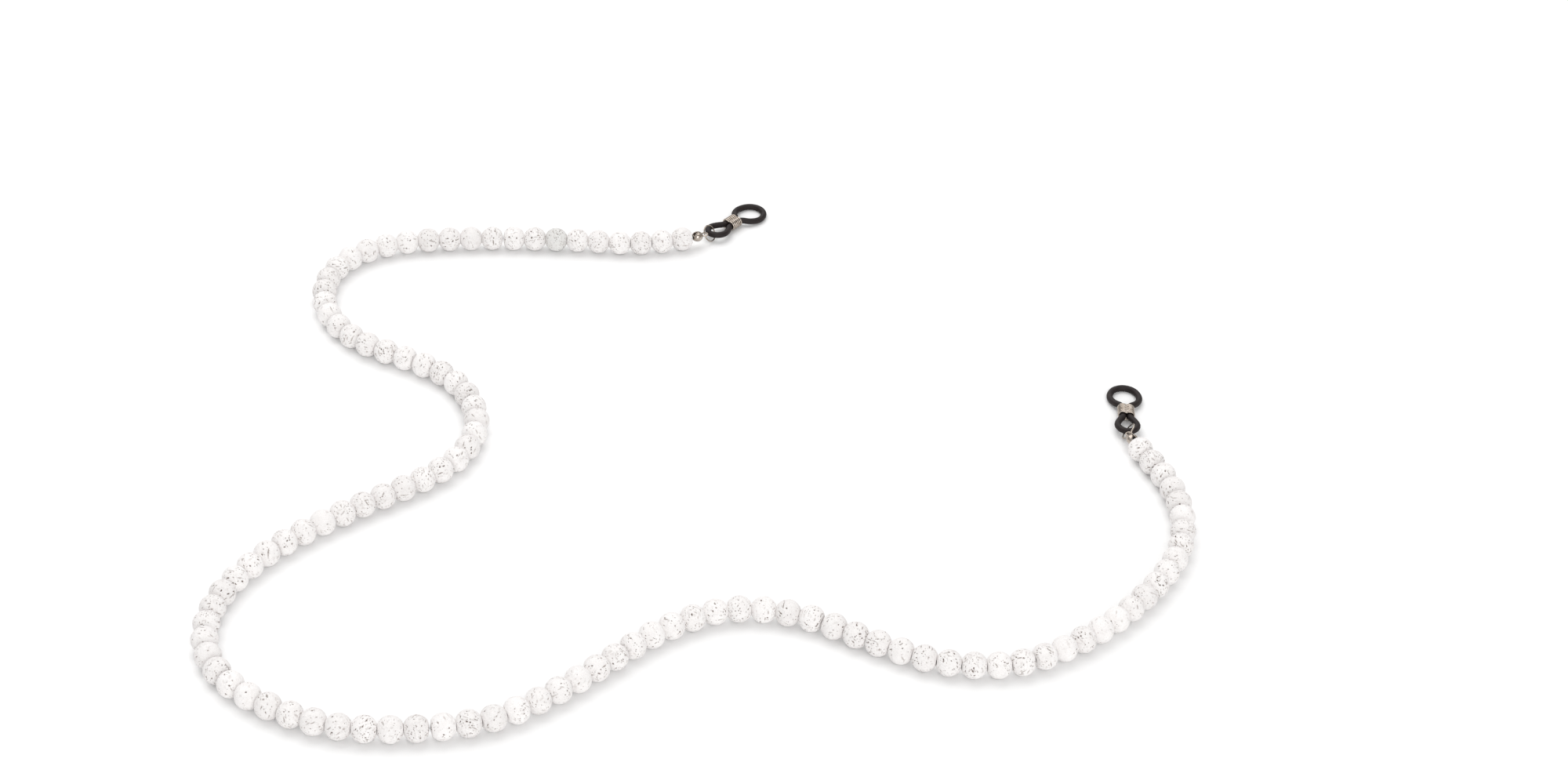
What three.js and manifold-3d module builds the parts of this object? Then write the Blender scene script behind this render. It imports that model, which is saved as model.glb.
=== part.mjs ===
// Eyeglass retainer strap: 108 drilled stone beads on one cord, laid out on a flat surface.
// Each end has a bead tip, a jump ring and a rubber loop with a sliding wire coil.
// Units are millimetres. +Z is up and the surface is z = 0.
import * as THREE from 'three';
import { mergeVertices } from 'three/addons/utils/BufferGeometryUtils.js';
import Module from 'manifold-3d';

// ---- driving dimensions ----
const BEAD_PITCH = 6;
const BEAD_RADIUS = 3.35;
const BEAD_WAIST_X = 2.1;
const BEAD_WAIST_RADIUS = 2.5;
const BEAD_BELT_X = 0.95;
const BEAD_END_RADIUS = 0.9;
const BEAD_BORE_RADIUS = 0.65;
const BEAD_SIDES = 8;
const BEADS_PER_GROUP = 3;
const BEADS_PER_RUN = 9;
const RUN_COUNT = 12;
const RUN_END_GAP = 0.25;

const CORD_RADIUS = 0.3;
const CORD_SIDES = 8;
const CORD_END_GAP = 0.15;
const KNOT_RADIUS = 0.8;
const KNOT_DETAIL = 1;

const TIP_START = 0.25;
const TIP_END = 3.15;
const TIP_END_WALL = 0.45;
const TIP_SIDES = 12;
const TIP_OUTSIDE = [[1.1, 1.6], [1.8, 1.75], [2.5, 1.45], [TIP_END, 0.75]];
const TIP_INSIDE = [[2.6, 0.8], [1.9, 1.3], [1.2, 1.2], [0.75, BEAD_BORE_RADIUS]];
const TIP_SEAM = { start: 0.9, end: 2.6, width: 0.3, height: 7 };
const KNOT_X = 1.75;
const HOOK_X = 4;
const HOOK_RING_RADIUS = 0.9;
const HOOK_WIRE_RADIUS = 0.22;
const HOOK_SIDES = 6;
const HOOK_STEPS = 16;

const RING_RADIUS = 2.3;
const RING_WIRE_RADIUS = 0.25;
const RING_HEIGHT = 2.72;
const RING_GAP_DEG = 6;
const RING_SIDES = 8;
const RING_STEPS = 24;

const RUBBER_RADIUS = 0.85;
const RUBBER_SIDES = 8;
const RUBBER_STEPS = 48;
const LOOP_OFFSET = 0.5;
const LOOP_END_HEIGHT = 2.25;

const COIL_X = 9.7;
const COIL_LENGTH = 4;
const COIL_TURNS = 6;
const COIL_HALF_WIDTH = 2.28;
const COIL_HALF_HEIGHT = 1.43;
const COIL_WIRE_RADIUS = 0.29;
const COIL_SIDES = 8;
const COIL_STEPS_PER_TURN = 12;
const COIL_SQUARENESS = 2.6;
const COIL_HEIGHT = 1.73;

// headings of each end's bead tip, and of its ring and loop, in degrees from +X,
// and how far the ring leans over to the left of its heading
const ENDS = {
  left: { tip: 32, loop: 53, ringLean: 30 },
  right: { tip: 108, loop: 90, ringLean: -30 },
};

// the strand's lie on the surface, from the left end to the right end
const ROUTE = [
  [-13.9, 98.2], [-28.6, 93.5], [-46, 93], [-64, 91.9], [-81.6, 89.4],
  [-96, 85.6], [-106.2, 78.8], [-111.8, 69], [-112.6, 57.5], [-108.6, 46],
  [-99.4, 36.2], [-86.8, 30], [-75.4, 23.8], [-67.4, 13.8], [-64, 0.6],
  [-67, -12.6], [-75, -23], [-88, -34.4], [-99.9, -45.8], [-109.2, -57.2],
  [-115.8, -69.6], [-118.6, -82.4], [-116.6, -95.4], [-108.8, -106.2], [-96.2, -114],
  [-79.6, -118.4], [-49.3, -113], [-35.4, -102.8], [-23, -89.6], [-10.8, -76.4],
  [4.8, -66.8], [22.2, -67.2], [39.6, -75.2], [57.2, -81.6], [74.9, -80.2],
  [91, -69.6], [106.2, -52.4], [117.2, -30], [116.9, -8], [106.9, 14],
];

// fine points on each stretch of the route, when it is walked bead by bead
const ROUTE_FINENESS = 64;

// half of the rubber loop's centre line: along the loop, sideways, height
const LOOP_HALF = [
  [0, 0, LOOP_END_HEIGHT], [0.9, 1.85, LOOP_END_HEIGHT], [3, 2.7, 2.1], [5.4, 2, 1.88],
  [7.2, 0.95, 1.75], [8.4, 0.88, COIL_HEIGHT], [11, 0.88, COIL_HEIGHT], [12.4, 1, 1.69],
  [14.2, 3, 1.3], [17.3, 4.05, 0.95], [20.6, 2.85, 0.87], [21.9, 0, 0.87],
];

const WELD_DISTANCE = 1e-4;
const SAME_PLACE = 1e-3;
const TANGENT_STEP = 1e-4;

// ---- materials ----
const stone = () => new THREE.MeshStandardMaterial({ color: 0xf3efec, roughness: 0.85, metalness: 0 });
const cordFibre = () => new THREE.MeshStandardMaterial({ color: 0x2a2320, roughness: 0.9, metalness: 0 });
const metal = () => new THREE.MeshStandardMaterial({ color: 0xc9c0b8, roughness: 0.28, metalness: 1 });
const rubber = () => new THREE.MeshStandardMaterial({ color: 0x262523, roughness: 0.7, metalness: 0 });

const model = new THREE.Group();
const wasm = await Module();
wasm.setup();

function addMesh(name, geometry, material) {
  const mesh = new THREE.Mesh(geometry, material);
  mesh.name = name;
  model.add(mesh);
}

// ---- shared geometry helpers ----
function welded(geometry) {
  geometry.deleteAttribute('normal');
  geometry.deleteAttribute('uv');
  return mergeVertices(geometry, WELD_DISTANCE);
}

function toSolid(geometry) {
  const shared = welded(geometry);
  const vertProperties = new Float32Array(shared.attributes.position.array);
  const triVerts = new Uint32Array(shared.index.array);
  return new wasm.Manifold(new wasm.Mesh({ numProp: 3, vertProperties, triVerts }));
}

function toGeometry(solid) {
  const mesh = solid.getMesh();
  const geometry = new THREE.BufferGeometry();
  geometry.setAttribute('position', new THREE.BufferAttribute(mesh.vertProperties, 3));
  geometry.setIndex(new THREE.BufferAttribute(mesh.triVerts, 1));
  return geometry;
}

function circleShape(radius, sides) {
  const corners = [];
  for (let i = 0; i < sides; i++) {
    const angle = ((i + 0.5) / sides) * 2 * Math.PI;
    corners.push(new THREE.Vector2(radius * Math.cos(angle), radius * Math.sin(angle)));
  }
  return new THREE.Shape(corners);
}

function tubeAlong(path, radius, sides, steps) {
  const options = { steps, extrudePath: path, curveSegments: 1 };
  return new THREE.ExtrudeGeometry(circleShape(radius, sides), options);
}

// a smooth closed line whose direction is the same where it starts and ends
class ClosedLine extends THREE.CatmullRomCurve3 {
  constructor(points) {
    super(points, true);
  }

  getTangent(t, target = new THREE.Vector3()) {
    const before = this.getPoint((t + 1 - TANGENT_STEP) % 1);
    const after = this.getPoint((t + TANGENT_STEP) % 1);
    return target.copy(after).sub(before).normalize();
  }
}

// a closed tube keeps the extrusion's side faces and drops its two end caps
function closedTubeAlong(path, radius, sides, steps) {
  const tube = tubeAlong(path, radius, sides, steps);
  const walls = tube.groups.find((group) => group.materialIndex === 1);
  const positions = tube.attributes.position.array.slice(walls.start * 3, (walls.start + walls.count) * 3);
  const geometry = new THREE.BufferGeometry();
  geometry.setAttribute('position', new THREE.BufferAttribute(positions, 3));
  return mergeVertices(geometry, SAME_PLACE);
}

// ---- the strand's frame: gap points one bead pitch apart along the route ----
function gapPoints() {
  const routePoints = ROUTE.map(([x, y]) => new THREE.Vector3(x, y, BEAD_RADIUS));
  const curve = new THREE.CatmullRomCurve3(routePoints);
  const fine = curve.getPoints((ROUTE.length - 1) * ROUTE_FINENESS);
  const gaps = [fine[0].clone()];
  let next = 1;
  while (gaps.length <= BEADS_PER_RUN * RUN_COUNT) {
    const from = gaps[gaps.length - 1];
    while (fine[next].distanceTo(from) < BEAD_PITCH) next++;
    const a = fine[next - 1];
    const step = fine[next].clone().sub(a);
    const offset = a.clone().sub(from);
    const half = offset.dot(step) / step.lengthSq();
    const rest = (offset.lengthSq() - BEAD_PITCH ** 2) / step.lengthSq();
    gaps.push(a.clone().addScaledVector(step, -half + Math.sqrt(half * half - rest)));
  }
  return gaps;
}

const GAPS = gapPoints();

function beadDirection(bead) {
  return GAPS[bead + 1].clone().sub(GAPS[bead]).normalize();
}

// moves a point of a straight strand (along, sideways, up) to its place on the route
function placeOnStrand(point, firstBead, beadCount) {
  const bead = Math.min(Math.max(Math.floor(point.x / BEAD_PITCH), 0), beadCount - 1);
  const atGap = Math.round(point.x / BEAD_PITCH);
  const inside = atGap > 0 && atGap < beadCount;
  const isGapRing = inside && Math.abs(point.x - atGap * BEAD_PITCH) < SAME_PLACE;
  const direction = beadDirection(firstBead + bead);
  let base = GAPS[firstBead + bead].clone().addScaledVector(direction, point.x - bead * BEAD_PITCH);
  if (isGapRing) {
    base = GAPS[firstBead + atGap].clone();
    direction.copy(beadDirection(firstBead + atGap - 1)).add(beadDirection(firstBead + atGap)).normalize();
  }
  const side = new THREE.Vector3(-direction.y, direction.x, 0);
  return base.addScaledVector(side, point.y).add(new THREE.Vector3(0, 0, point.z));
}

// ---- beads: three drilled stones joined by the thin rims of their holes ----
function beadGroup(firstBead, startsRun, endsRun) {
  const corner = 1 / Math.cos(Math.PI / BEAD_SIDES);
  const length = BEADS_PER_GROUP * BEAD_PITCH;
  const start = startsRun ? RUN_END_GAP : CORD_END_GAP;
  const end = length - (endsRun ? RUN_END_GAP : CORD_END_GAP);
  const profile = [[start, BEAD_END_RADIUS]];
  for (let bead = 0; bead < BEADS_PER_GROUP; bead++) {
    const middle = (bead + 0.5) * BEAD_PITCH;
    profile.push([middle - BEAD_WAIST_X, BEAD_WAIST_RADIUS], [middle - BEAD_BELT_X, BEAD_RADIUS]);
    profile.push([middle + BEAD_BELT_X, BEAD_RADIUS], [middle + BEAD_WAIST_X, BEAD_WAIST_RADIUS]);
    if (bead < BEADS_PER_GROUP - 1) profile.push([(bead + 1) * BEAD_PITCH, BEAD_END_RADIUS]);
  }
  profile.push([end, BEAD_END_RADIUS], [end, BEAD_BORE_RADIUS]);
  for (let gap = BEADS_PER_GROUP - 1; gap > 0; gap--) profile.push([gap * BEAD_PITCH, BEAD_BORE_RADIUS]);
  profile.push([start, BEAD_BORE_RADIUS], [start, BEAD_END_RADIUS]);
  const points = profile.map(([along, radius]) => new THREE.Vector2(radius * corner, along));
  const geometry = new THREE.LatheGeometry(points, BEAD_SIDES, Math.PI / BEAD_SIDES, 2 * Math.PI);
  const positions = geometry.attributes.position;
  const vertex = new THREE.Vector3();
  for (let i = 0; i < positions.count; i++) {
    vertex.fromBufferAttribute(positions, i);
    const straight = new THREE.Vector3(vertex.y, vertex.z, vertex.x);
    const placed = placeOnStrand(straight, firstBead, BEADS_PER_GROUP);
    positions.setXYZ(i, placed.x, placed.y, placed.z);
  }
  return geometry;
}

function twoDigits(number) {
  return String(number).padStart(2, '0');
}

function buildBeads() {
  const groupsPerRun = BEADS_PER_RUN / BEADS_PER_GROUP;
  for (let group = 0; group < RUN_COUNT * groupsPerRun; group++) {
    const placeInRun = group % groupsPerRun;
    const geometry = beadGroup(group * BEADS_PER_GROUP, placeInRun === 0, placeInRun === groupsPerRun - 1);
    addMesh(`beads_${twoDigits(group + 1)}`, geometry, stone());
  }
}

// ---- stringing cord: one stretch through each run of nine beads ----
function buildCord() {
  for (let run = 0; run < RUN_COUNT; run++) {
    const points = GAPS.slice(run * BEADS_PER_RUN, (run + 1) * BEADS_PER_RUN + 1).map((gap) => gap.clone());
    points[0].lerp(points[1], CORD_END_GAP / BEAD_PITCH);
    points[BEADS_PER_RUN].lerp(points[BEADS_PER_RUN - 1], CORD_END_GAP / BEAD_PITCH);
    const path = new THREE.CurvePath();
    for (let i = 0; i < BEADS_PER_RUN; i++) path.add(new THREE.LineCurve3(points[i], points[i + 1]));
    const tube = tubeAlong(path, CORD_RADIUS, CORD_SIDES, BEADS_PER_RUN);
    addMesh(`cord_${twoDigits(run + 1)}`, tube, cordFibre());
  }
}

// ---- end fittings, each built along +X and then turned to its heading ----
function turned(geometry, origin, headingDeg) {
  geometry.rotateZ(THREE.MathUtils.degToRad(headingDeg));
  geometry.translate(origin.x, origin.y, 0);
  return geometry;
}

function lathedAlongX(profile, sides) {
  const points = profile.map(([along, radius]) => new THREE.Vector2(radius, along));
  const geometry = new THREE.LatheGeometry(points, sides, Math.PI / sides, 2 * Math.PI);
  geometry.rotateZ(-Math.PI / 2);
  return geometry.translate(0, 0, BEAD_RADIUS);
}

// the cord's knotted end, held inside the bead tip
function cordEnd() {
  const line = new THREE.LineCurve3(
    new THREE.Vector3(CORD_END_GAP, 0, BEAD_RADIUS),
    new THREE.Vector3(KNOT_X, 0, BEAD_RADIUS),
  );
  const tail = toSolid(tubeAlong(line, CORD_RADIUS, CORD_SIDES, 1));
  const knot = new THREE.IcosahedronGeometry(KNOT_RADIUS, KNOT_DETAIL).translate(KNOT_X, 0, BEAD_RADIUS);
  return toGeometry(tail.add(toSolid(knot)));
}

// two hinged cups closed over the knot, with the hook that holds the jump ring
function beadTip() {
  const shell = lathedAlongX([
    [TIP_START, BEAD_BORE_RADIUS], [TIP_START, BEAD_END_RADIUS], ...TIP_OUTSIDE,
    [TIP_END, 0], [TIP_END - TIP_END_WALL, 0], ...TIP_INSIDE, [TIP_START, BEAD_BORE_RADIUS],
  ], TIP_SIDES);
  const seamLength = TIP_SEAM.end - TIP_SEAM.start;
  const seam = new THREE.BoxGeometry(seamLength, TIP_SEAM.width, TIP_SEAM.height);
  seam.translate(TIP_SEAM.start + seamLength / 2, 0, BEAD_RADIUS);
  const hook = new THREE.TorusGeometry(HOOK_RING_RADIUS, HOOK_WIRE_RADIUS, HOOK_SIDES, HOOK_STEPS);
  hook.translate(HOOK_X, 0, BEAD_RADIUS);
  return toGeometry(toSolid(shell).subtract(toSolid(seam)).add(toSolid(hook)));
}

// the ring hangs from the hook, sloping down along the strap and leaning over to one side,
// with its cut at the top
function jumpRing(centreX, leanDeg) {
  const sweep = THREE.MathUtils.degToRad(360 - RING_GAP_DEG);
  const start = THREE.MathUtils.degToRad(90 + RING_GAP_DEG / 2);
  const lean = THREE.MathUtils.degToRad(leanDeg);
  const centre = new THREE.Vector3(centreX, 0, RING_HEIGHT);
  const along = centre.clone().sub(new THREE.Vector3(0, 0, BEAD_RADIUS)).normalize();
  const across = new THREE.Vector3(-along.z, 0, along.x).multiplyScalar(Math.cos(lean));
  across.y = Math.sin(lean);
  class RingLine extends THREE.Curve {
    getPoint(t, target = new THREE.Vector3()) {
      const angle = start + t * sweep;
      target.copy(centre).addScaledVector(along, RING_RADIUS * Math.cos(angle));
      return target.addScaledVector(across, RING_RADIUS * Math.sin(angle));
    }
  }
  return tubeAlong(new RingLine(), RING_WIRE_RADIUS, RING_SIDES, RING_STEPS);
}

function rubberLoop() {
  const there = LOOP_HALF.map(([x, y, z]) => new THREE.Vector3(x, y, z));
  const back = LOOP_HALF.slice(1, -1).reverse().map(([x, y, z]) => new THREE.Vector3(x, -y, z));
  const path = new ClosedLine([...there, ...back]);
  return closedTubeAlong(path, RUBBER_RADIUS, RUBBER_SIDES, RUBBER_STEPS);
}

// wire wound around both legs of the loop
function wireCoil() {
  const power = 2 / COIL_SQUARENESS;
  class CoilLine extends THREE.Curve {
    getPoint(t, target = new THREE.Vector3()) {
      const angle = t * COIL_TURNS * 2 * Math.PI;
      const across = Math.cos(angle);
      const up = Math.sin(angle);
      return target.set(
        COIL_X + (t - 0.5) * COIL_LENGTH,
        COIL_HALF_WIDTH * Math.sign(across) * Math.abs(across) ** power,
        COIL_HEIGHT + COIL_HALF_HEIGHT * Math.sign(up) * Math.abs(up) ** power,
      );
    }
  }
  return tubeAlong(new CoilLine(), COIL_WIRE_RADIUS, COIL_SIDES, COIL_TURNS * COIL_STEPS_PER_TURN);
}

function buildEnd(side, endGap) {
  const headings = ENDS[side];
  const tipAlong = new THREE.Vector3(1, 0, 0).applyAxisAngle(
    new THREE.Vector3(0, 0, 1), THREE.MathUtils.degToRad(headings.tip),
  );
  const loopAlong = new THREE.Vector3(1, 0, 0).applyAxisAngle(
    new THREE.Vector3(0, 0, 1), THREE.MathUtils.degToRad(headings.loop),
  );
  const hook = endGap.clone().addScaledVector(tipAlong, HOOK_X);
  const ringCentreX = Math.sqrt(RING_RADIUS ** 2 - (BEAD_RADIUS - RING_HEIGHT) ** 2);
  const loopEnd = hook.clone().addScaledVector(loopAlong, ringCentreX + LOOP_OFFSET);
  addMesh(`cord_end_${side}`, turned(cordEnd(), endGap, headings.tip), cordFibre());
  addMesh(`bead_tip_${side}`, turned(beadTip(), endGap, headings.tip), metal());
  const ring = jumpRing(ringCentreX, headings.ringLean);
  addMesh(`jump_ring_${side}`, turned(ring, hook, headings.loop), metal());
  addMesh(`rubber_loop_${side}`, turned(rubberLoop(), loopEnd, headings.loop), rubber());
  addMesh(`wire_coil_${side}`, turned(wireCoil(), loopEnd, headings.loop), metal());
}

buildBeads();
buildCord();
buildEnd('left', GAPS[0]);
buildEnd('right', GAPS[GAPS.length - 1]);

export default model;
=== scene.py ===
"""Looks of the beaded eyeglass retainer strap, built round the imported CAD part."""

import math
from collections import namedtuple

import bmesh
import bpy
import numpy as np
from mathutils import Matrix, Vector, noise


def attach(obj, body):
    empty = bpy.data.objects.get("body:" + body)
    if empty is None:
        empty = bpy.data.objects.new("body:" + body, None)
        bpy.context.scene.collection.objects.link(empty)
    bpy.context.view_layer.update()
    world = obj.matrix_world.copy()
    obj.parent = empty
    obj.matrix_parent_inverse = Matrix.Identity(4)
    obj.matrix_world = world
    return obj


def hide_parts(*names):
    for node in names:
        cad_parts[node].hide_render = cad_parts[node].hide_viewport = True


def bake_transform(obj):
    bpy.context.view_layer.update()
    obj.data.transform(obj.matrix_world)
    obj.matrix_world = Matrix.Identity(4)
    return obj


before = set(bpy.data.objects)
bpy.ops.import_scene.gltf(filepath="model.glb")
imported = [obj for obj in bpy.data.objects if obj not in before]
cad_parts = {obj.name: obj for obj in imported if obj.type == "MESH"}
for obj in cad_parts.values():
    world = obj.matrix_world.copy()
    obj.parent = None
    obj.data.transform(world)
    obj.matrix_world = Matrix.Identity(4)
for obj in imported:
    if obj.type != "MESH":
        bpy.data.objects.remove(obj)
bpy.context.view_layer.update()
MM = 0.001

# ---------------------------------------------------------------- camera

CAMERA_PLACE = (0.01492, -0.66750, 0.4949)
CAMERA_DOWN = math.radians(35.35)
CAMERA_ROLL = math.radians(3.676)
LENS_MM = 73.42
SENSOR_MM = 36.0
CLIP_NEAR = 0.01
CLIP_FAR = 20.0


def make_camera():
    """A camera that looks down at the strap from the front."""
    data = bpy.data.cameras.new("camera")
    data.lens = LENS_MM
    data.sensor_width = SENSOR_MM
    data.clip_start = CLIP_NEAR
    data.clip_end = CLIP_FAR
    camera = bpy.data.objects.new("camera", data)
    bpy.context.collection.objects.link(camera)
    forward = Vector((0, math.cos(CAMERA_DOWN), -math.sin(CAMERA_DOWN)))
    flat_right = Vector((1, 0, 0))
    flat_up = Vector((0, math.sin(CAMERA_DOWN), math.cos(CAMERA_DOWN)))
    right = flat_right * math.cos(CAMERA_ROLL) + flat_up * math.sin(CAMERA_ROLL)
    up = flat_up * math.cos(CAMERA_ROLL) - flat_right * math.sin(CAMERA_ROLL)
    turn = Matrix((right, up, -forward)).transposed().to_4x4()
    camera.matrix_world = Matrix.Translation(CAMERA_PLACE) @ turn
    bpy.context.scene.camera = camera


make_camera()

# ---------------------------------------------------------------- the route, as in part.mjs

ROUTE = np.array([
    (-13.9, 98.2), (-28.6, 93.5), (-46, 93), (-64, 91.9), (-81.6, 89.4),
    (-96, 85.6), (-106.2, 78.8), (-111.8, 69), (-112.6, 57.5), (-108.6, 46),
    (-99.4, 36.2), (-86.8, 30), (-75.4, 23.8), (-67.4, 13.8), (-64, 0.6),
    (-67, -12.6), (-75, -23), (-88, -34.4), (-99.9, -45.8), (-109.2, -57.2),
    (-115.8, -69.6), (-118.6, -82.4), (-116.6, -95.4), (-108.8, -106.2),
    (-96.2, -114), (-79.6, -118.4), (-49.3, -113), (-35.4, -102.8),
    (-23, -89.6), (-10.8, -76.4), (4.8, -66.8), (22.2, -67.2),
    (39.6, -75.2), (57.2, -81.6), (74.9, -80.2), (91, -69.6),
    (106.2, -52.4), (117.2, -30), (116.9, -8), (106.9, 14),
]) * MM
BEAD_PITCH = 6 * MM
BEAD_HEIGHT = 3.35 * MM
BEADS = 108
BEADS_PER_RUN = 9
RUNS = BEADS // BEADS_PER_RUN
BEADS_PER_NODE = 3
FINE_STEPS = 64


def centripetal(points):
    """The centripetal Catmull-Rom curve through the route points, finely sampled."""
    last = len(points) - 1
    line = []
    for i in range(last):
        p1, p2 = points[i], points[i + 1]
        p0 = points[i - 1] if i > 0 else 2 * points[0] - points[1]
        p3 = points[i + 2] if i + 2 <= last else 2 * points[last] - points[last - 1]
        d0, d1, d2 = (
            math.sqrt(np.linalg.norm(b - a)) for a, b in ((p0, p1), (p1, p2), (p2, p3))
        )
        t1 = ((p1 - p0) / d0 - (p2 - p0) / (d0 + d1) + (p2 - p1) / d1) * d1
        t2 = ((p2 - p1) / d1 - (p3 - p1) / (d1 + d2) + (p3 - p2) / d2) * d1
        for k in range(FINE_STEPS):
            t = k / FINE_STEPS
            square = (-3 * p1 + 3 * p2 - 2 * t1 - t2) * t * t
            cube = (2 * p1 - 2 * p2 + t1 + t2) * t ** 3
            line.append(p1 + t1 * t + square + cube)
    line.append(points[last])
    return np.array(line)


def walk(line, pitch, count):
    """Points one pitch apart in a straight line, each on the curve: the gaps between beads."""
    found = [line[0]]
    at = 0
    for _ in range(count - 1):
        here = found[-1]
        while np.linalg.norm(line[at + 1] - here) < pitch:
            at += 1
        start = line[at] - here
        step = line[at + 1] - line[at]
        a = step @ step
        b = 2 * start @ step
        c = start @ start - pitch * pitch
        t = (-b + math.sqrt(b * b - 4 * a * c)) / (2 * a)
        found.append(line[at] + step * t)
    return np.array(found)


GAPS = walk(centripetal(ROUTE), BEAD_PITCH, BEADS + 1)

# ---------------------------------------------------------------- materials

PIN_HOLE_EDGE = 0.19


def nodes_of(name):
    """A new node material and its Principled shader."""
    material = bpy.data.materials.new(name)
    material.use_nodes = True
    tree = material.node_tree
    return material, tree, tree.nodes["Principled BSDF"]


def add(tree, kind, **inputs):
    """A node with its sockets set by name. A name ending in _ sets a property of the node."""
    node = tree.nodes.new(kind)
    for key, value in inputs.items():
        if key.endswith("_"):
            setattr(node, key[:-1], value)
        else:
            node.inputs[key.replace("__", " ")].default_value = value
    return node


def ramp(tree, factor, stops):
    """A colour ramp from factor, with stops of (place, colour)."""
    node = tree.nodes.new("ShaderNodeValToRGB")
    elements = node.color_ramp.elements
    while len(elements) < len(stops):
        elements.new(0.5)
    for element, (place, colour) in zip(elements, stops):
        element.position = place
        element.color = (*colour, 1)
    tree.links.new(factor, node.inputs[0])
    return node.outputs[0]


def place_on_piece(tree):
    """The place of a point in its piece's own frame, which moves with the piece."""
    return add(tree, "ShaderNodeTexCoord").outputs["Object"]


def multiplied(tree, factor, a, b):
    """Colour a multiplied by colour b, as far as factor says."""
    node = tree.nodes.new("ShaderNodeMix")
    node.data_type = "RGBA"
    node.blend_type = "MULTIPLY"
    node.inputs[0].default_value = factor
    tree.links.new(a, node.inputs[6])
    tree.links.new(b, node.inputs[7])
    return node.outputs[2]


def link_roughness(tree, shader, texture, least, most):
    """Roughness between least and most, from a texture's own pattern."""
    spread = add(tree, "ShaderNodeMapRange")
    spread.inputs["To Min"].default_value = least
    spread.inputs["To Max"].default_value = most
    tree.links.new(texture.outputs["Fac"], spread.inputs["Value"])
    tree.links.new(spread.outputs["Result"], shader.inputs["Roughness"])


def bump(tree, height, strength, distance, under=None):
    """A bump from a height, laid over the bump under it."""
    node = add(tree, "ShaderNodeBump", Strength=strength, Distance=distance)
    tree.links.new(height, node.inputs["Height"])
    if under is not None:
        tree.links.new(under, node.inputs["Normal"])
    return node.outputs["Normal"]


def stone_material():
    """White lava stone: matte and finely grained, with painted shade in its pits, pin holes and bore, a
    little browner in the pits.
    """
    material, tree, shader = nodes_of("lava_stone")
    place = place_on_piece(tree)
    clouds = add(tree, "ShaderNodeTexNoise", Scale=420.0, Detail=4.0, Roughness=0.6)
    grain = add(tree, "ShaderNodeTexNoise", Scale=5200.0, Detail=6.0, Roughness=0.7)
    lumps = add(tree, "ShaderNodeTexNoise", Scale=1900.0, Detail=3.0, Roughness=0.55, Distortion=0.6)
    pin_hole_cells = add(tree, "ShaderNodeTexVoronoi", Scale=1900.0, Randomness=1.0)
    for texture in (clouds, grain, lumps, pin_hole_cells):
        tree.links.new(place, texture.inputs["Vector"])
    body = ramp(tree, clouds.outputs["Fac"], [
        (0.30, (0.905, 0.882, 0.874)), (0.55, (0.940, 0.922, 0.915)), (0.75, (0.962, 0.949, 0.945)),
    ])
    fine = ramp(tree, grain.outputs["Fac"], [
        (0.32, (0.78, 0.76, 0.75)), (0.47, (0.96, 0.955, 0.95)), (0.60, (1, 1, 1)),
    ])
    mixed = multiplied(tree, 0.7, body, fine)
    # Painted shade: the tiny pin holes are painted darker towards their middles.
    pin_hole_shade = ramp(tree, pin_hole_cells.outputs["Distance"], [
        (0.0, (0.58, 0.54, 0.51)), (0.11, (0.80, 0.775, 0.76)), (PIN_HOLE_EDGE, (1, 1, 1)),
    ])
    mixed = multiplied(tree, 0.7, mixed, pin_hole_shade)
    tone = add(tree, "ShaderNodeAttribute", attribute_name_="tone")
    greyer = ramp(tree, tone.outputs["Fac"], [
        (0.0, (0.82, 0.83, 0.82)), (0.3, (0.915, 0.910, 0.908)), (1.0, (1, 1, 1)),
    ])
    mixed = multiplied(tree, 1.0, mixed, greyer)
    # Painted shade: the pits and the bore are painted darker and a little browner, as far as the pit
    # values say.
    pit = add(tree, "ShaderNodeAttribute", attribute_name_="pit")
    pit_shade_colour = ramp(tree, pit.outputs["Fac"], [
        (0.0, (1, 1, 1)), (0.40, (0.70, 0.67, 0.65)), (1.0, (0.28, 0.24, 0.215)),
    ])
    mixed = multiplied(tree, 1.0, mixed, pit_shade_colour)
    tree.links.new(mixed, shader.inputs["Base Color"])
    link_roughness(tree, shader, grain, 0.78, 0.98)
    shader.inputs["Specular IOR Level"].default_value = 0.25
    holes = add(tree, "ShaderNodeMapRange")
    holes.inputs["From Min"].default_value = 0.0
    holes.inputs["From Max"].default_value = PIN_HOLE_EDGE
    tree.links.new(pin_hole_cells.outputs["Distance"], holes.inputs["Value"])
    low = bump(tree, holes.outputs["Result"], 0.8, 0.10 * MM)
    sandy = bump(tree, lumps.outputs["Fac"], 0.9, 0.22 * MM, under=low)
    high = bump(tree, grain.outputs["Fac"], 0.7, 0.05 * MM, under=sandy)
    tree.links.new(high, shader.inputs["Normal"])
    return material


def cord_material():
    """Dark twisted stringing cord: fine slanted plies and loose fibre."""
    material, tree, shader = nodes_of("cord_fibre")
    place = place_on_piece(tree)
    plies = add(
        tree, "ShaderNodeTexWave", Scale=900.0, Distortion=2.0, Detail=2.0,
        bands_direction_="DIAGONAL",
    )
    fluff = add(tree, "ShaderNodeTexNoise", Scale=7000.0, Detail=5.0, Roughness=0.7)
    for texture in (plies, fluff):
        tree.links.new(place, texture.inputs["Vector"])
    strands = ramp(tree, plies.outputs["Fac"], [
        (0.1, (0.018, 0.016, 0.015)), (0.6, (0.055, 0.050, 0.047)), (0.95, (0.10, 0.092, 0.085)),
    ])
    loose = ramp(tree, fluff.outputs["Fac"], [
        (0.35, (0.55, 0.55, 0.55)), (0.6, (1, 1, 1)), (0.8, (1, 1, 1)),
    ])
    colour = multiplied(tree, 0.8, strands, loose)
    tree.links.new(colour, shader.inputs["Base Color"])
    shader.inputs["Roughness"].default_value = 0.72
    shader.inputs["Sheen Weight"].default_value = 0.25
    tree.links.new(bump(tree, plies.outputs["Fac"], 0.8, 0.06 * MM), shader.inputs["Normal"])
    return material


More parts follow.
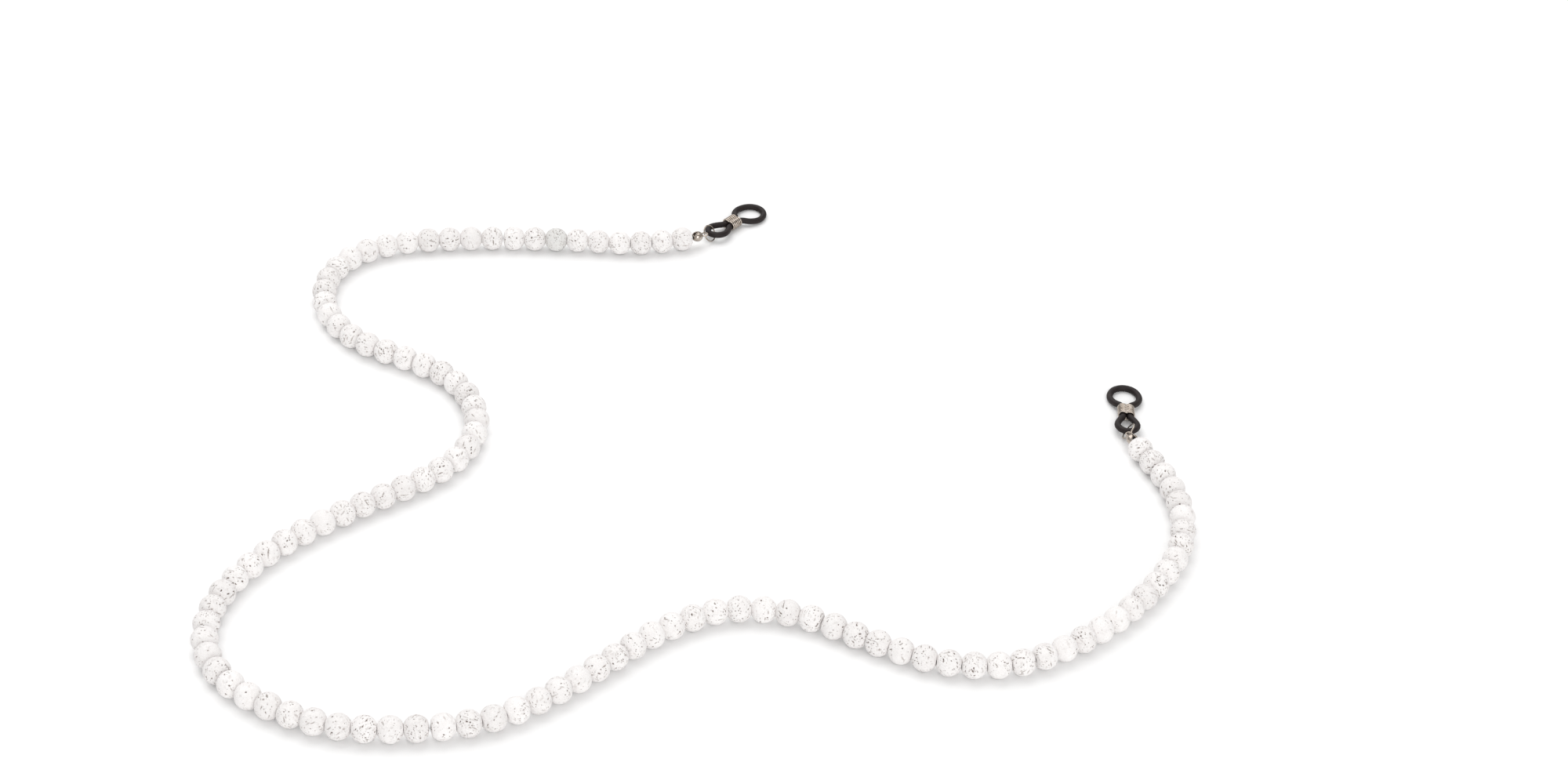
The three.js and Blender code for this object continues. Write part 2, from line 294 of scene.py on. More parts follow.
def metal_material():
    """Nickel silver: bright, slightly warm, with faint drawing marks and handling haze."""
    material, tree, shader = nodes_of("nickel_silver")
    place = place_on_piece(tree)
    haze = add(tree, "ShaderNodeTexNoise", Scale=900.0, Detail=4.0, Roughness=0.6)
    marks = add(tree, "ShaderNodeTexNoise", Scale=6000.0, Detail=3.0, Roughness=0.5)
    for texture in (haze, marks):
        tree.links.new(place, texture.inputs["Vector"])
    tint = ramp(tree, haze.outputs["Fac"], [
        (0.30, (0.31, 0.26, 0.215)), (0.52, (0.44, 0.385, 0.335)), (0.72, (0.58, 0.53, 0.48)),
    ])
    tree.links.new(tint, shader.inputs["Base Color"])
    shader.inputs["Metallic"].default_value = 1.0
    link_roughness(tree, shader, marks, 0.12, 0.32)
    tree.links.new(bump(tree, marks.outputs["Fac"], 0.25, 0.02 * MM), shader.inputs["Normal"])
    return material


def rubber_material():
    """Charcoal silicone rubber: matte, faintly mottled and dusty."""
    material, tree, shader = nodes_of("black_rubber")
    place = place_on_piece(tree)
    mottle = add(tree, "ShaderNodeTexNoise", Scale=700.0, Detail=5.0, Roughness=0.6)
    skin = add(tree, "ShaderNodeTexNoise", Scale=6500.0, Detail=4.0, Roughness=0.6)
    for texture in (mottle, skin):
        tree.links.new(place, texture.inputs["Vector"])
    colour = ramp(tree, mottle.outputs["Fac"], [
        (0.30, (0.008, 0.0046, 0.0044)), (0.52, (0.013, 0.0074, 0.0071)), (0.75, (0.022, 0.0135, 0.0130)),
    ])
    tree.links.new(colour, shader.inputs["Base Color"])
    shader.inputs["Specular IOR Level"].default_value = 0.34
    link_roughness(tree, shader, skin, 0.50, 0.72)
    tree.links.new(bump(tree, skin.outputs["Fac"], 0.3, 0.03 * MM), shader.inputs["Normal"])
    return material


STONE = stone_material()
FIBRE = cord_material()
METAL = metal_material()
RUBBER = rubber_material()

# ---------------------------------------------------------------- mesh helpers


def mesh_object(name, points, faces, material, smooth=True):
    """A new mesh piece. Its points are already in the part's own frame."""
    mesh = bpy.data.meshes.new(name)
    mesh.from_pydata([tuple(p) for p in points], [], [tuple(f) for f in faces])
    mesh.validate()
    mesh.update()
    if smooth:
        mesh.shade_smooth()
    mesh.materials.append(material)
    piece = bpy.data.objects.new(name, mesh)
    bpy.context.collection.objects.link(piece)
    return piece


def put(points, place):
    """Points moved from a piece's own frame to the frame given by place."""
    m = np.array(place)
    return np.array(points, float) @ m[:3, :3].T + m[:3, 3]


def finish_piece(piece, body, node, slot):
    """Hangs a piece on its body's empty and hides the CAD node that it stands for. The slot is not used.
    """
    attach(piece, body)
    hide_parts(node)


def tangents(line, closed):
    """Unit directions along a line of points."""
    if closed:
        ahead, behind = np.roll(line, -1, axis=0), np.roll(line, 1, axis=0)
    else:
        ahead = np.vstack([line[1:], line[-1:]])
        behind = np.vstack([line[:1], line[:-1]])
    t = ahead - behind
    return t / np.linalg.norm(t, axis=1)[:, None]


def carried(line, closed, first):
    """Two directions across the line at each point, carried along it with no needless twist."""
    t = tangents(line, closed)
    across = np.array(first, float)
    out = []
    for i in range(len(line)):
        across = across - t[i] * (across @ t[i])
        across = across / np.linalg.norm(across)
        out.append(across)
    out = np.array(out)
    if closed:
        end = out[-1] - t[0] * (out[-1] @ t[0])
        end = end / np.linalg.norm(end)
        twist = math.atan2(np.cross(end, out[0]) @ t[0], end @ out[0])
        share = np.arange(len(line)) / len(line) * twist
        side = np.cross(t, out)
        out = out * np.cos(share)[:, None] + side * np.sin(share)[:, None]
    return out, np.cross(t, out)


DOME_LEANS = (0.45, 0.8)
DOME_BULGE = 0.5


def tube_mesh(line, radius, sides, closed=False, first=(0, 0, 1), wobble=None):
    """Points and faces of a round tube along a line, its open ends closed by small domes."""
    line = np.array(line, float)
    count = len(line)
    radii = np.full(count, radius) if np.isscalar(radius) else np.array(radius, float)
    a, b = carried(line, closed, first)
    angles = np.arange(sides) * 2 * math.pi / sides
    cosines, sines = (wave(angles)[None, :, None] for wave in (np.cos, np.sin))
    ring = a[:, None, :] * cosines + b[:, None, :] * sines
    grow = radii[:, None, None]
    if wobble is not None:
        grow = grow * (1 + wobble(count, sides)[:, :, None])
    points = (line[:, None, :] + ring * grow).reshape(-1, 3)
    faces = []
    for i in range(count if closed else count - 1):
        j = (i + 1) % count
        for k in range(sides):
            m = (k + 1) % sides
            faces.append((i * sides + k, i * sides + m, j * sides + m, j * sides + k))
    if closed:
        return points, faces
    t = tangents(line, False)
    extra = []
    for end, way in ((0, -1), (count - 1, 1)):
        base = [end * sides + k for k in range(sides)]
        for lean in DOME_LEANS:
            small = math.cos(lean * math.pi / 2) * radii[end]
            out = math.sin(lean * math.pi / 2) * radii[end] * DOME_BULGE
            start = len(points) + len(extra)
            for k in range(sides):
                extra.append(line[end] + ring[end, k] * small + t[end] * way * out)
            new = [start + k for k in range(sides)]
            for k in range(sides):
                m = (k + 1) % sides
                quad = (base[k], base[m], new[m], new[k])
                faces.append(quad if way > 0 else quad[::-1])
            base = new
        faces.append(tuple(base) if way > 0 else tuple(base[::-1]))
    return np.vstack([points, np.array(extra)]), faces


def joined(parts):
    """Several (points, faces) in one."""
    points, faces, start = [], [], 0
    for p, f in parts:
        points.append(np.array(p, float))
        faces.extend(tuple(v + start for v in face) for face in f)
        start += len(p)
    return np.vstack(points), faces


def spline_through(points, steps, closed=False):
    """A smooth line through points, with steps short pieces between each two."""
    points = np.array(points, float)
    n = len(points)
    out = []
    for i in range(n if closed else n - 1):
        p1, p2 = points[i], points[(i + 1) % n]
        p0 = points[i - 1] if closed or i > 0 else 2 * p1 - p2
        p3 = points[(i + 2) % n] if closed or i + 2 < n else 2 * p2 - p1
        for k in range(steps):
            t = k / steps
            out.append(0.5 * (
                2 * p1 + (p2 - p0) * t + (2 * p0 - 5 * p1 + 4 * p2 - p3) * t * t
                + (3 * p1 - p0 - 3 * p2 + p3) * t ** 3
            ))
    if not closed:
        out.append(points[-1])
    return np.array(out)


# ---------------------------------------------------------------- the stringing cord

CORD_RADIUS = 0.3 * MM
CORD_END_GAP = 0.1 * MM
CORD_STEPS_PER_BEAD = 6


def with_height(points, z):
    """Flat points raised to one height."""
    return np.column_stack([points, np.full(len(points), z)])


def make_cords():
    """The cord, in one stretch for each run of beads, so that the strand can bend between runs."""
    cords = []
    whole = spline_through(with_height(GAPS, BEAD_HEIGHT), CORD_STEPS_PER_BEAD)
    steps = BEADS_PER_RUN * CORD_STEPS_PER_BEAD
    for run in range(RUNS):
        line = whole[run * steps:(run + 1) * steps + 1].copy()
        ahead, behind = line[1] - line[0], line[-2] - line[-1]
        line[0] += ahead / np.linalg.norm(ahead) * CORD_END_GAP
        line[-1] += behind / np.linalg.norm(behind) * CORD_END_GAP
        name = f"stringing_cord_{run + 1:02d}"
        curve = bpy.data.curves.new(name, "CURVE")
        curve.dimensions = "3D"
        curve.bevel_depth = CORD_RADIUS
        curve.bevel_resolution = 4
        curve.use_fill_caps = True
        spline = curve.splines.new("POLY")
        spline.points.add(len(line) - 1)
        for at, p in zip(spline.points, line):
            at.co = (*p, 1)
        curve.materials.append(FIBRE)
        cord = bpy.data.objects.new(name, curve)
        bpy.context.collection.objects.link(cord)
        finish_piece(cord, f"run_{run + 1:02d}", f"cord_{run + 1:02d}", "cord_fibre")
        length = float(np.linalg.norm(np.diff(line, axis=0), axis=1).sum())
        cords.append((cord, tuple(line[0]), length))
    return cords


CORDS = make_cords()

# ---------------------------------------------------------------- lava beads

BEAD_HALF_LENGTH = 3.2 * MM
BEAD_RADII = (3.27 * MM, 3.35 * MM)
BEAD_LIMIT = 3.345 * MM
GAP_CLEARANCE = 0.015 * MM
FLAT_MARGIN = 0.02 * MM
BEND_LEAN = math.radians(12)
BEND_REACH = 2.93 * MM
BORE_RADIUS = 0.58 * MM
BORE_NARROWING = 0.95
BORE_MARGIN = 1.25
BORE_SIDES = 16
BORE_STEPS = 4
BORE_SHADE = 0.9
RIM_SHADE = 0.4
BASE_POINTS = 2400
BASE_JITTER = 0.004
SWELLS = 5
SWELL_SQUARE = 0.010
SWELL_CUBE = 0.005
COARSE_GRAIN = {"scale": 5, "height": 0.006}
FINE_GRAIN = {"scale": 16, "height": 0.009}
FIRST_SEED = 5200
BUSYNESS = (0.3, 0.7, 1.0, 1.3)
BUSYNESS_SHARES = (0.15, 0.25, 0.35, 0.25)
GREY_BEAD = 7
GREYEST_TONE = 0.0
TONES = (0.3, 1.0)

# A kind of pit: how many a bead has, whether a busier bead has more of them, half width in bead
# radii, length over width, depth over width, and how much painted shade it puts in the pit.
PitKind = namedtuple("PitKind", "count busier width stretch steep dark")
PIT_KINDS = {
    "wide": PitKind((0, 4), True, (0.070, 0.105), (1.0, 1.6), 1.0, 0.6),
    "groove": PitKind((7, 15), True, (0.034, 0.050), (3.0, 7.0), 1.4, 0.85),
    "deep": PitKind((12, 25), True, (0.046, 0.074), (1.0, 1.9), 1.4, 1.25),
    "dent": PitKind((12, 20), False, (0.060, 0.120), (1.0, 2.5), 0.32, 0.2),
    "small": PitKind((60, 100), True, (0.026, 0.043), (1.0, 2.2), 1.3, 1.1),
}
PITS_AT_MOST = 400
TRIES_PER_PIT = 12
NEAREST_TO_BORE = 0.93
PIT_SPACING = 0.85
GRAIN_STRAY = 0.25
DEPTH_SPREAD = (0.7, 1.2)
SHADE_SPREAD = (0.3, 1.15)
PHASES = (0, 6.28)
OVAL_EDGE = 0.16
THREE_SIDED_EDGE = 0.10
FACING_LEAST = 0.3
NOT_IN_PIT = 9.0
PIT_RIM = 1.08
PIT_WALL = 0.6

# The rings of points over a pit, from its rim in: place between middle and rim, and share of sides.
PIT_RINGS = ((1.10, 1.0), (0.92, 1.0), (0.66, 0.8), (0.34, 0.5))
PIT_SIDES = (7, 18)
INNER_SIDES_LEAST = 6
SIDES_PER_SIZE = 170
RING_STAGGER = 0.5
FINE_PIT_WIDTH = 0.05
BASE_MARGIN = 1.22
PIT_MARGIN = 1.18
PIT_NEIGHBOURS = 1.6


def tangent_pair(normal, along):
    """Two directions across normal, the first as near along as it can be."""
    first = along - normal * (along @ normal)
    first = first / np.linalg.norm(first)
    return first, np.cross(normal, first)


def pits_of(rng, busy):
    """Pits over a unit ball: middle, long and short way, half sizes and depth, in bead radii."""
    along = rng.normal(size=3)
    along /= np.linalg.norm(along)
    counts = [
        int(rng.integers(*kind.count) * (busy if kind.busier else 1) + 0.5)
        for kind in PIT_KINDS.values()
    ]
    pits = []
    places = np.empty((PITS_AT_MOST, 3))
    rooms = np.empty(PITS_AT_MOST)
    for kind, count in zip(PIT_KINDS.values(), counts):
        made = tries = 0
        while made < count and tries < count * TRIES_PER_PIT:
            tries += 1
            middle = rng.normal(size=3)
            middle /= np.linalg.norm(middle)
            if abs(middle[0]) > NEAREST_TO_BORE:
                continue
            width = rng.uniform(*kind.width)
            stretch = rng.uniform(*kind.stretch)
            room = width * math.sqrt(stretch)
            taken = len(pits)
            apart = np.linalg.norm(places[:taken] - middle, axis=1)
            if (apart < (rooms[:taken] + room) * PIT_SPACING).any():
                continue
            places[taken] = middle
            rooms[taken] = room
            long_way, short_way = tangent_pair(middle, along + rng.normal(size=3) * GRAIN_STRAY)
            pits.append({
                "middle": middle, "long_way": long_way, "short_way": short_way,
                "half_length": width * stretch, "half_width": width,
                "deep": width * kind.steep * rng.uniform(*DEPTH_SPREAD),
                "dark": kind.dark * rng.uniform(*SHADE_SPREAD),
                "oval_phase": rng.uniform(*PHASES), "three_phase": rng.uniform(*PHASES),
                "rings": 4 if width > FINE_PIT_WIDTH else 3,
            })
            made += 1
    return pits


def edge_of(pit, angle):
    """The uneven edge of a pit at an angle, as a share of the plain oval."""
    oval = OVAL_EDGE * np.sin(2 * angle + pit["oval_phase"])
    three_sided = THREE_SIDED_EDGE * np.sin(3 * angle + pit["three_phase"])
    return 1 + oval + three_sided


def far_out(pit, points):
    """How far out in a pit each point is: 0 at its middle, 1 on its rim."""
    away = points - pit["middle"]
    u = away @ pit["long_way"] / pit["half_length"]
    v = away @ pit["short_way"] / pit["half_width"]
    far = np.hypot(u, v) / edge_of(pit, np.arctan2(v, u))
    return np.where(points @ pit["middle"] > FACING_LEAST, far, NOT_IN_PIT)


def pit_points(pit):
    """Points over one pit: its rim, its wall and its floor."""
    size = math.sqrt(pit["half_length"] * pit["half_width"])
    fewest, most = PIT_SIDES
    count = max(fewest, min(most, int(size * SIDES_PER_SIZE)))
    out = [pit["middle"]]
    for share, part in PIT_RINGS[:pit["rings"]]:
        sides = max(INNER_SIDES_LEAST, int(count * part))
        for k in range(sides):
            angle = (k + RING_STAGGER * share) * 2 * math.pi / sides
            edge = edge_of(pit, angle)
            p = (
                pit["middle"] + pit["long_way"] * math.cos(angle) * pit["half_length"] * share * edge
                + pit["short_way"] * math.sin(angle) * pit["half_width"] * share * edge
            )
            out.append(p / np.linalg.norm(p))
    return np.array(out)


def even_points(rng):
    """Points spread evenly over a unit ball in a spiral, a little out of place."""
    k = np.arange(BASE_POINTS) + 0.5
    lift = 1 - 2 * k / BASE_POINTS
    turn = math.pi * (1 + math.sqrt(5)) * k
    wide = np.sqrt(1 - lift * lift)
    base = np.column_stack([lift, wide * np.cos(turn), wide * np.sin(turn)])
    base += rng.normal(size=base.shape) * BASE_JITTER
    return base / np.linalg.norm(base, axis=1)[:, None]


def ball_points(rng, pits):
    """Points over a unit ball, dense round its pits. The two rims of the bore come first."""
    base = even_points(rng)
    for pit in pits:
        base = base[far_out(pit, base) > BASE_MARGIN]
    groups = [base]
    for i, pit in enumerate(pits):
        mine = pit_points(pit)
        for other in pits[:i]:
            near = (other["half_length"] + pit["half_length"]) * PIT_NEIGHBOURS
            if np.linalg.norm(other["middle"] - pit["middle"]) < near:
                mine = mine[far_out(other, mine) > PIT_MARGIN]
        groups.append(mine)
    points = np.vstack(groups)
    bore = BORE_RADIUS / BEAD_HALF_LENGTH
    points = points[np.hypot(points[:, 1], points[:, 2]) > bore * BORE_MARGIN]
    angles = np.arange(BORE_SIDES) * 2 * math.pi / BORE_SIDES
    rims = [
        np.column_stack([
            np.full(BORE_SIDES, way * math.sqrt(1 - bore * bore)),
            bore * np.cos(angles), bore * np.sin(angles),
        ])
        for way in (-1, 1)
    ]
    return np.vstack([*rims, points])


def ball_faces(points):
    """Triangles over points on a ball, which all lie on its hull, open at both ends of the bore."""
    bm = bmesh.new()
    for p in points:
        bm.verts.new(p)
    bm.verts.index_update()
    bmesh.ops.convex_hull(bm, input=bm.verts, use_existing_faces=False)
    faces = np.array([[v.index for v in f.verts] for f in bm.faces])
    bm.free()
    a, b, c = (points[faces[:, i]] for i in range(3))
    inward = (np.cross(b - a, c - a) * (a + b + c)).sum(axis=1) < 0
    faces[inward] = faces[inward][:, ::-1]
    on_rim = np.arange(len(points)) < 2 * BORE_SIDES
    return faces[~on_rim[faces].all(axis=1)]


def pit_depths(ball, pits):
    """How deep the pits make each point of a ball, and how much painted shade they put on it."""
    depth = np.zeros(len(ball))
    dark = np.zeros(len(ball))
    for pit in pits:
        wall = np.clip((PIT_RIM - far_out(pit, ball)) / PIT_WALL, 0, 1)
        wall = wall * wall * (3 - 2 * wall)
        depth = np.maximum(depth, wall * pit["deep"])
        dark = np.maximum(dark, wall * pit["dark"])
    return depth, dark


def uneven(rng, ball):
    """How far out each point of a ball stands, about 1: a few broad swells and a stony grain."""
    swell = np.zeros(len(ball))
    for _ in range(SWELLS):
        way = rng.normal(size=3)
        way /= np.linalg.norm(way)
        square = rng.uniform(-SWELL_SQUARE, SWELL_SQUARE) * (ball @ way) ** 2
        cube = rng.uniform(-SWELL_CUBE, SWELL_CUBE) * (ball @ way) ** 3
        swell += square + cube
    seed = Vector(rng.uniform(0, 50, 3))
    grain = np.array([
        noise.noise(Vector(p) * COARSE_GRAIN["scale"] + seed) * COARSE_GRAIN["height"]
        + noise.noise(Vector(p) * FINE_GRAIN["scale"] + seed) * FINE_GRAIN["height"]
        for p in ball
    ])
    return 1 + swell + grain


def turn_about_bore(body, spin):
    """Turns a bead's points about its bore."""
    across, up = body[:, 1].copy(), body[:, 2].copy()
    body[:, 1] = across * math.cos(spin) - up * math.sin(spin)
    body[:, 2] = across * math.sin(spin) + up * math.cos(spin)


def end_limit(gap, body):
    """How far along X each point of a bead may reach towards a gap, for its place across the bead.

    The end is a flat near half way to the neighbour, leaning with the curve of the strand. Where
    the strand can bend it is a blunt cone, clear of its neighbour through the whole bend.
    """
    if gap % BEADS_PER_RUN == 0:
        across = np.hypot(body[:, 1], body[:, 2])
        return (BEND_REACH - across * math.sin(BEND_LEAN)) / math.cos(BEND_LEAN)
    before = GAPS[gap] - GAPS[gap - 1]
    after = GAPS[gap + 1] - GAPS[gap]
    bend = math.atan2(before[0] * after[1] - before[1] * after[0], before @ after)
    return BEAD_PITCH / 2 - GAP_CLEARANCE - body[:, 1] * math.tan(bend / 2)


def cut_ends(body, index):
    """Cuts a bead off at both of its gaps, and says which of its points now lie on the cuts.

    Known fault: the flat at the start of a bead leans the other way from the one that it meets,
    because of the mirrored Y. Where the strand curves the two cross, by up to 0.22 mm.
    """
    least = -end_limit(index, body * (1, -1, 1))
    most = end_limit(index + 1, body)
    on_cut = np.maximum(least - body[:, 0], body[:, 0] - most) > -FLAT_MARGIN
    body[:, 0] = np.clip(body[:, 0], least, most)
    return on_cut


def bore_wall(body):
    """Rings of points down the bore between its two rims, and the faces that join them all."""
    left, right = body[:BORE_SIDES], body[BORE_SIDES:2 * BORE_SIDES]
    tube = []
    for step in range(1, BORE_STEPS):
        t = step / BORE_STEPS
        ring = left * (1 - t) + right * t
        wide = np.hypot(ring[:, 1], ring[:, 2])
        ring[:, 1:] *= (BORE_RADIUS * BORE_NARROWING / wide)[:, None]
        tube.append(ring)
    sides = np.arange(BORE_SIDES)
    rings = [sides, *(len(body) + s * BORE_SIDES + sides for s in range(BORE_STEPS - 1))]
    rings.append(BORE_SIDES + sides)
    faces = []
    for low, high in zip(rings, rings[1:]):
        for k in range(BORE_SIDES):
            m = (k + 1) % BORE_SIDES
            faces.append((low[k], high[k], high[m]))
            faces.append((low[k], high[m], low[m]))
    return np.vstack(tube), np.array(faces)


def bead_mesh(rng, busy, radius, index):
    """Points, faces and painted shade of one lava bead, its bore along X and Z up."""
    pits = pits_of(rng, busy)
    ball = ball_points(rng, pits)
    faces = ball_faces(ball)
    depth, dark = pit_depths(ball, pits)
    body = ball * uneven(rng, ball)[:, None] * (BEAD_HALF_LENGTH, radius, radius)
    turn_about_bore(body, rng.uniform(0, 2 * math.pi))
    too_wide = np.maximum(np.hypot(body[:, 1], body[:, 2]) / BEAD_LIMIT, 1)
    body[:, 1:] /= too_wide[:, None]
    depth[cut_ends(body, index)] = 0
    body *= (1 - depth)[:, None]
    tube, tube_faces = bore_wall(body)
    # Painted shade: the bore's wall and its rims get high pit values, so they are painted dark like the
    # pits.
    shade = np.concatenate([dark, np.full(len(tube), BORE_SHADE)])
    shade[:2 * BORE_SIDES] = RIM_SHADE
    return np.vstack([body, tube]), np.vstack([faces, tube_faces]), shade.clip(0, 1)


def bead_place(i):
    """The frame of bead i, from its two gaps: its bore along X, Z up."""
    a, b = GAPS[i], GAPS[i + 1]
    along = Vector((*(b - a), 0)).normalized()
    side = Vector((0, 0, 1)).cross(along)
    turn = Matrix((along, side, Vector((0, 0, 1)))).transposed().to_4x4()
    middle = (a + b) / 2
    return Matrix.Translation((*middle, BEAD_HEIGHT)) @ turn


def give_values(piece, name, values):
    """A value at each point of a piece, for its material to read."""
    layer = piece.data.attributes.new(name, "FLOAT", "POINT")
    layer.data.foreach_set("value", values.astype(np.float32))


def make_beads():
    """One stone bead for each place on the cord, no two alike."""
    for i in range(BEADS):
        rng = np.random.default_rng(FIRST_SEED + i)
        busy = float(rng.choice(BUSYNESS, p=BUSYNESS_SHARES))
        points, faces, shade = bead_mesh(rng, busy, rng.uniform(*BEAD_RADII), i)
        number = i + 1
        bead = mesh_object(f"lava_bead_{number:03d}", put(points, bead_place(i)), faces.tolist(), STONE)
        tone = GREYEST_TONE if number == GREY_BEAD else rng.uniform(*TONES)
        give_values(bead, "pit", shade)
        give_values(bead, "tone", np.full(len(shade), tone))
        run, node = i // BEADS_PER_RUN + 1, i // BEADS_PER_NODE + 1
        finish_piece(bead, f"run_{run:02d}", f"beads_{node:02d}", "lava_stone")


make_beads()

# ---------------------------------------------------------------- end fittings

SIDES = ("left", "right")
TIP_HEADINGS = {"left": math.radians(32), "right": math.radians(108)}
LOOP_HEADINGS = {"left": math.radians(53), "right": math.radians(90)}

SHELL_PROFILE = np.array([
    (0.30, 0.80), (0.50, 1.12), (0.85, 1.48), (1.30, 1.68), (1.75, 1.73), (2.15, 1.63),
    (2.52, 1.37), (2.82, 1.00), (3.02, 0.62),
])
SHELL_PROFILE_STEPS = 4
SHELL_SIDES = 36
SHELL_THICKNESS = 0.14 * MM
CUP_WIDTH = 0.83
CUP_HEIGHT = 0.74
SEAM_DEGREES = 5
MOUTH_DEGREES = 27
MOUTH_START = 0.3
MOUTH_LENGTH = 1.3
MOUTH_POWER = 1.3
LIP = {"height": 0.06, "width": 1.3}
LIP_GROOVE = {"depth": 0.035, "place": 4, "width": 1.6}

COLLAR_X = 0.34 * MM
COLLAR_RADIUS = 0.56 * MM
COLLAR_WIRE = 0.16 * MM
COLLAR_STEPS = 40
HOOK_X = 4 * MM
HOOK_RADIUS = 0.86 * MM
HOOK_WIRE = 0.19 * MM
HOOK_NECK = np.array([(2.45, 0, -0.02), (2.75, 0, -0.01), (2.88, 0.06, 0)]) * MM
HOOK_ENDS = (math.radians(178), math.radians(-172))
HOOK_STEPS = 64
HOOK_RISE = 0.04 * MM

KNOT_LEAD = np.array([(0.12, 0, 0), (0.5, 0, 0), (0.9, 0.02, 0.01)]) * MM
KNOT_MIDDLE = 1.72
KNOT_SIZE = 0.42
KNOT_STRETCH = (0.40, 0.44, 0.72)
KNOT_STEPS = 90
KNOT_OPEN_STEPS = 4
KNOT_LEAD_RADIUS = 0.28 * MM
KNOT_RADIUS = 0.27 * MM

RING_RADIUS = 2.3 * MM
RING_WIRE = 0.19 * MM
RING_HEIGHT = 2.72 * MM
RING_LEANS = {"left": math.radians(34), "right": math.radians(-34)}
RING_HALF_CUT = math.radians(2.2)
RING_END_OFFSET = 0.05 * MM
RING_STEPS = 120

RUBBER_RADIUS = 0.85 * MM
RUBBER_SIDES = 24
LOOP_OFFSET = 0.5 * MM
LOOP_HALF = np.array([
    (0, 0, 2.25), (0.9, 1.85, 2.25), (3, 2.7, 2.1), (5.4, 2, 1.88), (7.2, 0.95, 1.75),
    (8.4, 0.88, 1.73), (11, 0.88, 1.73), (12.4, 1, 1.69), (14.2, 3, 1.3),
    (17.3, 4.05, 0.95), (20.6, 2.85, 0.87), (21.9, 0, 0.87),
]) * MM
LOOP_SPLINE_STEPS = 14
LOOP_STEPS = 300
LOOP_SMOOTHING = 30
WOBBLE_HEIGHT = 0.010
WOBBLE_STEP_ALONG = 0.14
WOBBLE_STEP_ROUND = 0.5
WOBBLE_SEEDS = {"left": (3.1, 7.7, 1.3), "right": (3.1, 7.7, 9.4)}
SQUEEZE = 0.05
SQUEEZE_HALF_LENGTH = 2.3 * MM
RING_SIDE_BLEND = (3.0 * MM, 7.4 * MM)
TEMPLE_SIDE_BLEND = (12.2 * MM, 21.4 * MM)

COIL_X = 9.7 * MM
COIL_HEIGHT = 1.73 * MM
COIL_TURNS = 6.2
COIL_START = 0.40
COIL_PITCH = 0.665 * MM
COIL_WIRE = 0.285 * MM
COIL_STEPS_PER_TURN = 64
LEG_OFFSET = 0.88 * MM
WRAP_RADIUS = 1.13 * MM
WRAP_DIP = 0.20 * MM
WRAP_DIP_HALF_WIDTH = 0.42 * MM


def flat_frame(origin, heading):
    """A frame with X along a heading in the ground plane and Z up."""
    along = Vector((math.cos(heading), math.sin(heading), 0))
    side = Vector((-along.y, along.x, 0))
    turn = Matrix((along, side, Vector((0, 0, 1)))).transposed().to_4x4()
    return Matrix.Translation(origin) @ turn


def end_places(side):
    """The frames of one end's fittings: its bead tip, its ring, and its loop at the apex."""
    gap = GAPS[0] if side == "left" else GAPS[-1]
    tip, loop = TIP_HEADINGS[side], LOOP_HEADINGS[side]
    hook = gap + HOOK_X * np.array((math.cos(tip), math.sin(tip)))
    reach = math.sqrt(RING_RADIUS ** 2 - (BEAD_HEIGHT - RING_HEIGHT) ** 2)
    ring = hook + reach * np.array((math.cos(loop), math.sin(loop)))
    apex = hook + (reach + LOOP_OFFSET) * np.array((math.cos(loop), math.sin(loop)))
    return {
        "tip": flat_frame((*gap, BEAD_HEIGHT), tip),
        "ring": flat_frame((*ring, RING_HEIGHT), loop),
        "loop": flat_frame((*apex, 0), loop),
        "coil": flat_frame((*apex, COIL_HEIGHT), loop),
    }


def lip_at(from_edge):
    """How far out a cup's wall stands near its edge: a rolled lip, and a groove inside it."""
    lip = LIP["height"] * math.exp(-((from_edge / LIP["width"]) ** 2))
    into_groove = (from_edge - LIP_GROOVE["place"]) / LIP_GROOVE["width"]
    return 1 + lip - LIP_GROOVE["depth"] * math.exp(-(into_groove ** 2))


def shell_half(side_way):
    """Half of the clamshell: a cup on one side of the upright seam, which opens towards the bead."""
    flat_profile = np.column_stack([SHELL_PROFILE, np.zeros(len(SHELL_PROFILE))])
    profile = spline_through(flat_profile, SHELL_PROFILE_STEPS)[:, :2]
    points, faces = [], []
    for x, radius in profile:
        mouth = max(0, 1 - (x - MOUTH_START) / MOUTH_LENGTH) ** MOUTH_POWER
        opening = math.radians(SEAM_DEGREES + MOUTH_DEGREES * mouth)
        for k in range(SHELL_SIDES + 1):
            angle = opening + (math.pi - math.radians(SEAM_DEGREES) - opening) * k / SHELL_SIDES
            lip = lip_at(min(k, SHELL_SIDES - k))
            y = math.sin(angle) * radius * lip * side_way * CUP_WIDTH
            z = math.cos(angle) * radius * lip * CUP_HEIGHT
            points.append((x * MM, y * MM, z * MM))
    columns = SHELL_SIDES + 1
    for i in range(len(profile) - 1):
        for k in range(SHELL_SIDES):
            quad = (
                i * columns + k, i * columns + k + 1,
                (i + 1) * columns + k + 1, (i + 1) * columns + k,
            )
            faces.append(quad if side_way > 0 else quad[::-1])
    return points, faces


